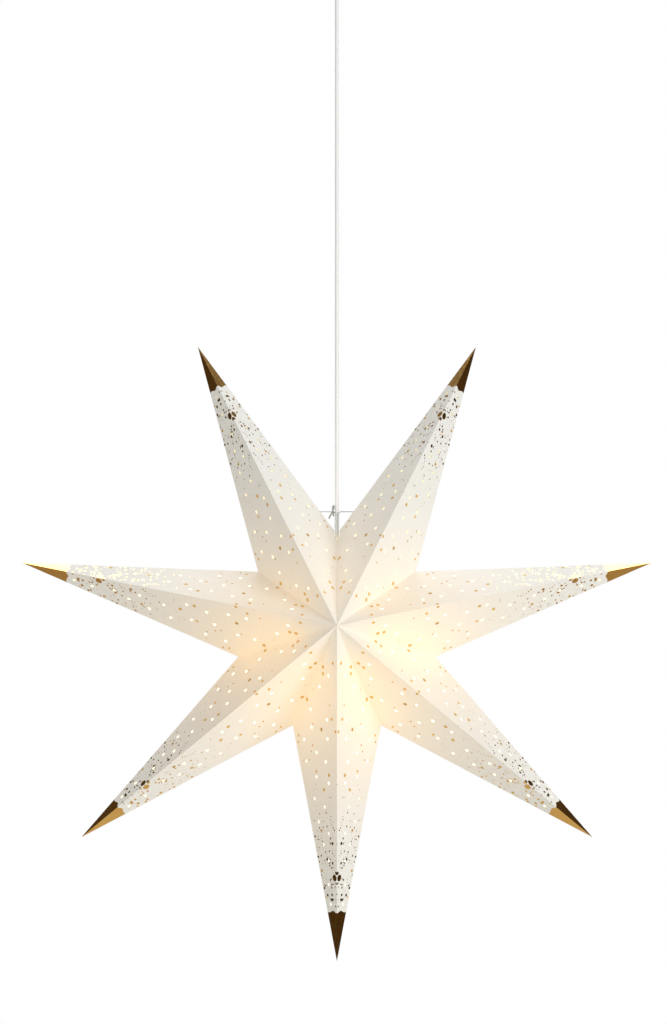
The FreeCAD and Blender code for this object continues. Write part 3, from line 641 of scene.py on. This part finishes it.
def lamp_glow(look, most, reach):
    """The bulb's light in the card, which starts near most and fades over reach, in metres."""
    place = look.node("TexCoord").outputs["Object"]
    off = look.node("VectorMath", Vector=place)
    off.operation = "DISTANCE"
    off.inputs[1].default_value = STAR
    far = look.field(off.outputs["Value"])
    across, _, height = look.split(place)
    height = height - STAR.z
    shaded = height.op("DIVIDE", far).ramp(-0.1, 0.95, 1.0, 0.35)  # by the lampholder, upwards
    off_axis = span(across, height).ramp(0.005, 0.085, 0.35, 1.0)
    return ((far - 0.06) * (-1.0 / reach)).op("EXPONENT") * most * shaded * off_axis


def card_grain(look):
    """The card's fine fibres and its faint clouds."""
    fibres = look.noise(look.object_place((1, 1.3, 1)), 2600, 3)
    return fibres, look.noise(look.object_place(), 35, 3)


CARD_BUMP = (0.25, 0.00006)  # strength, and depth in metres
PRINTED_SIDE = ((0.89, 0.895, 0.855), (0.872, 0.875, 0.835))  # the card's light and dark clouds
PLAIN_SIDE = ((0.89, 0.885, 0.85), (0.87, 0.86, 0.825))
LIT_PAPER = (0.87, 0.84, 0.66)
GOLD_INK = ((0.82, 0.51, 0.13), (0.33, 0.23, 0.06))  # pale and dark
FOIL = ((0.88, 0.52, 0.15), (0.82, 0.46, 0.12))
LIGHT_THROUGH_CARD = (1.0, 0.48, 0.06)
LIGHT_ON_CARD = (1.0, 0.84, 0.52)
LIGHT_OF_BULB = (1.0, 0.80, 0.55, 1)
BULB_GLOW = 6.0


def printed_card():
    """White card with foil on it, lit through from behind."""
    look = Look("card_printed")
    mask, ink, tone = gold_print(look)
    fibres, cloud = card_grain(look)
    clouds = cloud.ramp(0.35, 0.65)
    light = lamp_glow(look, 0.46, 0.095).low(0.27)
    paper = look.blend(light, look.blend(clouds, *PRINTED_SIDE), LIT_PAPER)
    paper = look.blend(ink, paper, look.blend(tone, *GOLD_INK))
    foil_rough = look.noise(look.object_place(), 220, 2).ramp(0.3, 0.7, 0.11, 0.19)
    rough = mask * (foil_rough - 0.62) + 0.62
    wave = look.noise(look.object_place(), 24, 1) * 6.0
    # foil keeps back most of the light, and clouds in the card show against it
    share = light * (mask * -0.88 + 1.0) * (ink * -0.6 + 1.0) * cloud.ramp(0.3, 0.7, 0.95, 1.05)
    return look.finish(
        look.blend(mask, paper, look.blend(clouds, *FOIL)),
        Metallic=mask,
        Roughness=rough,
        Normal=look.bump(fibres * 0.4 + mask * 0.6 + wave, *CARD_BUMP),
        Emission_Color=look.light(LIGHT_THROUGH_CARD, share),
        Emission_Strength=1.0,
    )


def plain_card(name, most, reach):
    """The card's unprinted side and cut edges, which the bulb lights."""
    look = Look(name)
    fibres, cloud = card_grain(look)
    share = lamp_glow(look, most, reach) * cloud.ramp(0.3, 0.7, 0.95, 1.05)
    return look.finish(
        look.blend(cloud.ramp(0.35, 0.65), *PLAIN_SIDE),
        Roughness=0.7,
        Normal=look.bump(fibres, *CARD_BUMP),
        Emission_Color=look.light(LIGHT_ON_CARD, share),
        Emission_Strength=1.0,
    )


def lit_opal():
    """The bulb's opal ball, evenly lit."""
    look = Look("bulb_opal")
    cloud = look.noise(look.object_place(), 50, 3).ramp(0.3, 0.7).ramp(0.0, 1.0)
    return look.finish(
        look.blend(cloud, (0.95, 0.92, 0.86), (0.93, 0.9, 0.84)),
        Roughness=0.35,
        Emission_Color=LIGHT_OF_BULB,
        Emission_Strength=BULB_GLOW,
    )


card_printed = printed_card()
card_inside = plain_card("card_inside", 0.85, 0.40)
card_edge = plain_card("card_edge", 0.25, 0.08)
card_flap = plain_card("card_flap", 0.7, 0.40)
for card in (card_printed, card_inside, card_edge, card_flap):
    card.cycles.emission_sampling = "NONE"
white_satin = moulded("white_satin_plastic", (0.86, 0.86, 0.85), (0.83, 0.83, 0.815), 0.34)
cord_skin = moulded(
    "cord_jacket_skin", (0.96, 0.96, 0.96), (0.945, 0.945, 0.94), 0.35, grain=400, depth=0.000002
)
core_skin = moulded("blue_core_skin", (0.05, 0.14, 0.42), (0.04, 0.11, 0.34), 0.4, 700)
block_skin = moulded("block_nylon", (0.80, 0.80, 0.77), (0.75, 0.75, 0.71), 0.5, 600)
nylon_skin = moulded("screw_nylon", (0.83, 0.82, 0.77), (0.78, 0.77, 0.72), 0.45, 700)
insert_skin = moulded("insert_resin", (0.75, 0.72, 0.64), (0.70, 0.66, 0.58), 0.5, 500)
housing_skin = moulded("bulb_housing_skin", (0.88, 0.88, 0.87), (0.85, 0.85, 0.84), 0.3)
black_glass = moulded("black_glass", (0.02, 0.02, 0.022), (0.03, 0.03, 0.032), 0.15, 300)
zinc = metal("zinc_plated_steel", (0.62, 0.63, 0.65), (0.52, 0.53, 0.56), 0.34)
wire_metal = metal("galvanised_wire", (0.60, 0.61, 0.60), (0.47, 0.48, 0.47), 0.38, (1, 1, 0.15))
pin_metal = metal("split_pin_steel", (0.42, 0.45, 0.41), (0.33, 0.36, 0.33), 0.42, (1, 1, 0.3))
brass = metal("pressed_brass", (0.78, 0.58, 0.26), (0.66, 0.47, 0.20), 0.3)
nickel = metal("nickel_plate", (0.72, 0.69, 0.63), (0.60, 0.57, 0.52), 0.22)
solder = metal("solder_tin", (0.66, 0.66, 0.67), (0.52, 0.52, 0.54), 0.4)
opal = lit_opal()


def paint(obj, material):
    """One material on a whole piece."""
    obj.data.materials.clear()
    obj.data.materials.append(material)
    return obj


def paint_node(node, material, edge=0.0):
    """A better material on a CAD node that stays, and a small round on its edges."""
    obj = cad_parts[node]
    for place in obj.material_slots:
        place.link = "OBJECT"
        place.material = material
    if edge:
        bevelled(obj, edge)


paint(cord_jacket, cord_skin)
for i in range(RAYS):
    ray(i)

# --- Hanger and split pin -------------------------------------------------------------------------

WIRE = 0.7  # the wire's radius
WIRE_SIDE, WIRE_FRONT = 1.9, 3.2
ARM_REACH, ARM_JOG = 34.0, 4.2
HOOP_RADIUS, HOOP_HEIGHT, UPRIGHT_BACK = 15.6, 44.2, 2.0
bends = [
    at_star(-ARM_REACH, 0, ARM_HEIGHT),
    at_star(-ARM_JOG, 0, ARM_HEIGHT),
    at_star(-WIRE_SIDE, -WIRE_FRONT, ARM_HEIGHT - 2),
    at_star(-WIRE_SIDE, -WIRE_FRONT, 98),
    at_star(-HOOP_RADIUS, UPRIGHT_BACK, 70),
    at_star(-HOOP_RADIUS, UPRIGHT_BACK, HOOP_HEIGHT),
    at_star(-HOOP_RADIUS, 0, HOOP_HEIGHT),
]
left_side = smooth_line(bends, 1.5 * MM)
right_side = [Vector((-p.x, p.y, p.z)) for p in reversed(left_side)]
hoop = []
for i in range(1, 24):
    a = math.pi + math.pi * i / 24
    hoop.append(at_star(HOOP_RADIUS * math.cos(a), HOOP_RADIUS * math.sin(a), HOOP_HEIGHT))
bm = bmesh.new()
tube(bm, left_side + hoop + right_side, WIRE * MM)
paint(finished("hanger_bent_wire", bm, "lamp", "hanger_wire", "wire_hanger", smooth=50), wire_metal)

PIN_WIRE = 0.95
PIN_SIDE = WIRE + PIN_WIRE + 0.15  # its two legs pass the hanger's arm in front and behind
bends = [
    at_star(-9.3, -PIN_SIDE, ARM_HEIGHT - 8),
    at_star(-5.1, -PIN_SIDE, ARM_HEIGHT),
    at_star(-3.8, -PIN_SIDE, ARM_HEIGHT + 3.5),
    at_star(-3.8, 0, ARM_HEIGHT + 9.2),
    at_star(-5.1, PIN_SIDE, ARM_HEIGHT + 3.5),
    at_star(-4.1, PIN_SIDE, ARM_HEIGHT - 4.5),
]
bm = bmesh.new()
tube(bm, smooth_line(bends, 1.0 * MM), PIN_WIRE * MM)
paint(finished("split_pin_bent", bm, "lamp", "pin_steel", "split_pin", smooth=50), pin_metal)

# --- Lampholder -----------------------------------------------------------------------------------
# Turned pieces are given by their outline of (radius, height).


def turned_piece(name, profile, body, slot, material, *replaced, edge=0, origin=STAR, sides=72):
    """A turned piece, with its edges rounded where edge isn't nought."""
    bm = bmesh.new()
    lathe(bm, profile, origin, sides)
    obj = paint(finished(name, bm, body, slot, *replaced), material)
    if edge:
        bevelled(obj, edge)
    return obj


def ridged(start, end, radius, pitch, depth):
    """Points of a rolled thread's outline, from one height to the other."""
    count = int(abs(end - start) / pitch)
    step = (end - start) / count
    points = []
    for i in range(count):
        base = start + (end - start) * i / count
        for share, rise in ((0.0, 0.0), (0.25, 0.7), (0.5, 1.0), (0.75, 0.7)):
            points.append((radius - depth + depth * rise, base + step * share))
    return points


skirt = turned_piece(
    "holder_skirt_shell",
    [
        (11.7, 30), (13.5, 30), (13.5, 31.5), (13.3, 31.7), (13.5, 31.9), (13.5, 45), (17.5, 45),
        (17.5, 47.5), (13.5, 47.5), (13.5, 54.6), (13.2, 54.8), (13.5, 55), (13.5, 56), (11.7, 56),
    ],
    "lamp", "white_plastic", white_satin, "holder_skirt",
)  # fmt: skip
bm = bmesh.new()
for side in (-1, 1):  # a notch in its flange for each of the hanger's uprights
    near, far = sorted((side * 14.6, side * 19.0))
    low = STAR / MM + Vector((near, UPRIGHT_BACK - 1.0, 42.5))
    box_in(bm, low, STAR / MM + Vector((far, UPRIGHT_BACK + 1.0, 50)))
cut(skirt, bm)
bevelled(skirt, 0.25)

ring_top = HOOP_HEIGHT - WIRE - 0.1
turned_piece(
    "shade_ring_threaded",
    [
        (13.6, ring_top - 8), (16.1, ring_top - 8), (16.1, ring_top - 2), (20, ring_top - 2),
        (20, ring_top), (13.6, ring_top),
    ],
    "lamp", "white_plastic", white_satin, "shade_ring", edge=0.35,
)  # fmt: skip

GRIP_HEIGHT = 84  # the screw that grips the cord, in the cap's collar
BACKWARD = Matrix.Rotation(-math.pi / 2, 3, "X")
cap_profile = [(14, 56), (14, 64), (13.9, 67.5)]
for i in range(1, 8):
    a = math.pi / 2 * i / 8
    cap_profile.append((6 + 7.9 * math.cos(a), 67.5 + 12.5 * math.sin(a)))
cap_profile += [(6, 80.4), (6, 88), (2.7, 88), (2.7, 78.2), (4.2, 78.2), (12.1, 66), (12.1, 56)]
holder_cap = turned_piece(
    "holder_cap_shell", cap_profile, "lamp", "white_plastic", white_satin, "holder_cap"
)
bm = bmesh.new()
lathe(bm, rod(1.65, 0, 12), at_star(0, 0, GRIP_HEIGHT), 24, BACKWARD)
cut(holder_cap, bm)
bevelled(holder_cap, 0.25)


def screw(name, centre, turn, shank, head, slots, body, slot, material, *replaced):
    """A screw with a domed head and one or two driver slots. It points along -Z of its turn."""
    radius, length = shank
    head_radius, rise = head
    profile = [(0, -length), (radius * 0.8, -length), (radius, -length * 0.9)]
    profile += [(radius, 0), (head_radius, 0), (head_radius, rise * 0.55)]
    profile += [(head_radius * 0.86, rise * 0.85), (head_radius * 0.6, rise), (0, rise)]
    bm = bmesh.new()
    lathe(bm, profile, centre, 32, turn)
    obj = paint(finished(name, bm, body, slot, *replaced), material)
    long, wide = (head_radius * 1.2, 0.28) if slots == 1 else (head_radius * 0.55, 0.3)
    for i in range(slots):
        bm = bmesh.new()
        spin = turn.to_4x4() @ Matrix.Rotation(i * math.pi / 2, 4, "Z")
        corners = (-long, -wide, rise * 0.45), (long, wide, rise * 2)
        box_in(bm, *corners, Matrix.Translation(centre) @ spin)
        cut(obj, bm)


screw(
    "cord_grip_screw_slotted", at_star(0, 6.1, GRIP_HEIGHT), BACKWARD, (1.5, 3.4), (2.55, 2.0), 1,
    "lamp", "nylon", nylon_skin, "cord_grip_screw",
)  # fmt: skip
shell = [(7.5, 32), (7.5, 50), (7.1, 50)] + ridged(49, 33, 7.3, 2.8, 0.2) + [(7.1, 32)]
turned_piece("holder_thread_shell", shell, "lamp", "brass", brass, "thread_shell")
paint_node("contact_insert", insert_skin, 0.2)
paint_node("centre_contact", brass, 0.1)
paint_node("holder_terminal_screws", brass, 0.2)
paint_node("holder_cores", core_skin)

# --- Bulb -----------------------------------------------------------------------------------------

outer, inner = [], []
for i in range(25):
    a = math.radians(-90 + 130 * i / 24)
    for surface, radius in ((outer, BALL_RADIUS), (inner, BALL_RADIUS - 1)):
        surface.append((radius * math.cos(a) if i else 0, radius * math.sin(a)))
neck = [(16.1, 15.6), (14.9, 17.0), (13.6, 18.8), (12.6, 20.0), (11.6, 20.0)]
turned_piece("bulb_globe_ball", outer + neck + inner[::-1], "bulb", "opal", opal, "bulb_globe")
housing = [
    (0, 20), (12.6, 20), (12.5, 20.6), (11.2, 22.6), (9.6, 25.4), (8.2, 28), (6.3, 28), (6.3, 36),
    (0, 36),
]  # fmt: skip
turned_piece(
    "bulb_housing_cone", housing, "bulb", "bulb_plastic", housing_skin, "bulb_housing", edge=0.2
)
cap = [(6.4, 28), (6.8, 28), (6.8, 29.5)] + ridged(29.5, 48.5, 6.8, 2.8, 0.5)
cap += [(6.8, 48.8), (6.4, 49.6), (4.0, 52), (3.6, 51.6), (5.9, 48.8), (6.0, 28.6)]
turned_piece("bulb_screw_cap_rolled", cap, "bulb", "nickel", nickel, "bulb_screw_cap")
insulator = [(0, 52), (3.9, 52), (3.7, 52.6), (2.4, 53.5), (0, 53.5)]
turned_piece(
    "bulb_insulator_ring", insulator, "bulb", "black_insulator", black_glass, "bulb_insulator",
    edge=0.1, sides=48,
)  # fmt: skip
tip = [(0, 53.5), (2.0, 53.5), (1.9, 54.3), (1.4, 54.8), (0.6, 55), (0, 55)]
turned_piece("bulb_solder_tip", tip, "bulb", "solder", solder, "bulb_tip", sides=40)

# --- Ceiling fitting ------------------------------------------------------------------------------
# Heights are measured from the ceiling.

CUP_SCREW_HEIGHT = -8
cup_profile = [
    (46, -0.5), (45.9, -3), (45.6, -12), (44.6, -34), (44, -43.5), (43.3, -47.6), (41.4, -52),
    (38.4, -55.2), (34.4, -57.2), (28.5, -58), (5.1, -58), (5.1, -56), (28, -56), (33.6, -55.3),
    (37.2, -53.6), (39.8, -50.8), (41.4, -47), (42, -43.5), (44, -0.5),
]  # fmt: skip
cup = turned_piece(
    "ceiling_cup_shell", cup_profile, "ceiling_rose", "white_plastic", white_satin, "ceiling_cup",
    origin=CEILING, sides=128,
)  # fmt: skip
sideways = {side: Matrix.Rotation(-side * math.pi / 2, 3, "X") for side in (-1, 1)}
bm = bmesh.new()
for side, turn in sideways.items():
    lathe(bm, rod(2.05, 40, 50), Vector((0, 0, CUP_SCREW_HEIGHT * MM)), 32, turn)
cut(cup, bm)
bevelled(cup, 0.3)
for side, label, replaced in ((-1, "front", ("cup_screws",)), (1, "back", ())):
    screw(
        "cup_screw_" + label, Vector((0, side * 46.1 * MM, CUP_SCREW_HEIGHT * MM)), sideways[side],
        (1.9, 8.1), (3.42, 1.8), 2, "ceiling_rose", "zinc_steel", zinc, *replaced,
    )  # fmt: skip
outlet_profile = [(2.7, -48), (5, -48)] + ridged(-49, -57, 5.0, 1.3, 0.35)
outlet_profile += [
    (5, -58), (10, -58), (10, -60.4), (9.8, -61), (9.3, -64), (8.9, -69), (8.4, -72), (7.2, -72),
    (5.6, -68), (4.3, -65), (3.3, -62.6), (2.7, -61),
]  # fmt: skip
turned_piece(
    "cord_outlet_bell", outlet_profile, "ceiling_rose", "white_plastic", white_satin,
    "cord_outlet", edge=0.25, origin=CEILING,
)  # fmt: skip
paint_node("outlet_nut", white_satin, 0.4)
paint_node("cord_top", cord_skin)
paint_node("ceiling_cores", core_skin)
paint_node("ceiling_plate", zinc, 0.15)
paint_node("terminal_block", block_skin, 0.8)
paint_node("block_screws", zinc, 0.2)

# --- Studio, in metres ----------------------------------------------------------------------------


def staged(name, corners, material):
    """A flat sheet of the studio."""
    bm = bmesh.new()
    bm.faces.new([bm.verts.new(c) for c in corners])
    mesh = mesh_of(bm, name)
    mesh.materials.append(material)
    obj = placed(name, mesh)
    return obj


FLOOR = STAR.z - 1.15
staged(
    "floor",
    [(-3, -3, FLOOR), (3, -3, FLOOR), (3, 3, FLOOR), (-3, 3, FLOOR)],
    matt("floor_pale", (0.83, 0.82, 0.79), (0.80, 0.79, 0.76), 3, 3, 0.8),
)

# Flags that are seen only where something mirrors them: upright dark brown ones at the sides, which
# pale towards their top, and low grey-brown ones.
flag_look = Look("brown_flag")
weave = flag_look.noise(flag_look.object_place(), 60, 2).ramp(0.3, 0.7)
height = flag_look.split(flag_look.object_place())[2]
brown = flag_look.blend(weave, (0.055, 0.034, 0.014), (0.065, 0.042, 0.019))
paling = (height - STAR.z).ramp(1.15, 1.5)
brown_flag = flag_look.finish(flag_look.blend(paling, brown, (0.30, 0.28, 0.25)), Roughness=0.9)
grey_flag = matt("grey_flag", (0.50, 0.44, 0.37), (0.54, 0.48, 0.40), 60, 2, 0.9)
for side, label in ((-1, "left"), (1, "right")):
    x, top, low = side * 1.35, STAR.z + 2.2, STAR.z - 0.85
    upright = [(x, -0.6, low), (x, 2.6, low), (x, 2.6, top), (x, -0.6, top)]
    near, far, lift = side * 0.58, side * 1.35, FLOOR + 0.05
    lying = [(near, -0.6, lift), (far, -0.6, lift), (far, 1.6, lift), (near, 1.6, lift)]
    for sheet in (
        staged("flag_" + label, upright, brown_flag),
        staged("low_flag_" + label, lying, grey_flag),
    ):
        sheet.visible_camera = False
        sheet.visible_diffuse = False
        sheet.visible_shadow = False
        sheet.visible_transmission = False


def softbox(name, place, size, power, tint=(1, 1, 1)):
    """A rectangular lamp that faces the star."""
    data = bpy.data.lights.new(name, "AREA")
    data.shape = "RECTANGLE"
    data.size, data.size_y = size
    data.energy = power
    data.color = tint
    obj = placed(name, data)
    obj.location = STAR + Vector(place)
    obj.rotation_euler = (-Vector(place)).to_track_quat("-Z", "Y").to_euler()


softbox("overhead", (0.0, 0.85, 1.7), (1.3, 0.8), 11.0)
softbox("key_right", (2.2, -2.0, 0.3), (1.2, 1.4), 32.0)
softbox("fill_low", (-1.0, -2.2, -1.0), (1.6, 1.0), 14.0, (1.0, 0.90, 0.76))

# The world is plain white for the camera, for mirrors and through glass, and lights everything else
# softly.
SOFT_LIGHT = 0.52
world = bpy.data.worlds.new("studio")
bpy.context.scene.world = world
world.use_nodes = True
nodes, links = world.node_tree.nodes, world.node_tree.links
nodes.clear()
path = nodes.new("ShaderNodeLightPath")
seen = nodes.new("ShaderNodeMath")
seen.operation = "MAXIMUM"
links.new(path.outputs["Is Camera Ray"], seen.inputs[0])
seen_through = nodes.new("ShaderNodeMath")
seen_through.operation = "MAXIMUM"
links.new(path.outputs["Is Glossy Ray"], seen_through.inputs[0])
links.new(path.outputs["Is Transmission Ray"], seen_through.inputs[1])
links.new(seen_through.outputs[0], seen.inputs[1])
mix = nodes.new("ShaderNodeMixShader")
links.new(seen.outputs[0], mix.inputs[0])
for strength, socket in ((SOFT_LIGHT, mix.inputs[1]), (1.0, mix.inputs[2])):
    background = nodes.new("ShaderNodeBackground")
    background.inputs["Color"].default_value = (1, 1, 1, 1)
    background.inputs["Strength"].default_value = strength
    links.new(background.outputs[0], socket)
output = nodes.new("ShaderNodeOutputWorld")
links.new(mix.outputs[0], output.inputs["Surface"])

bpy.context.scene.view_settings.view_transform = "Standard"
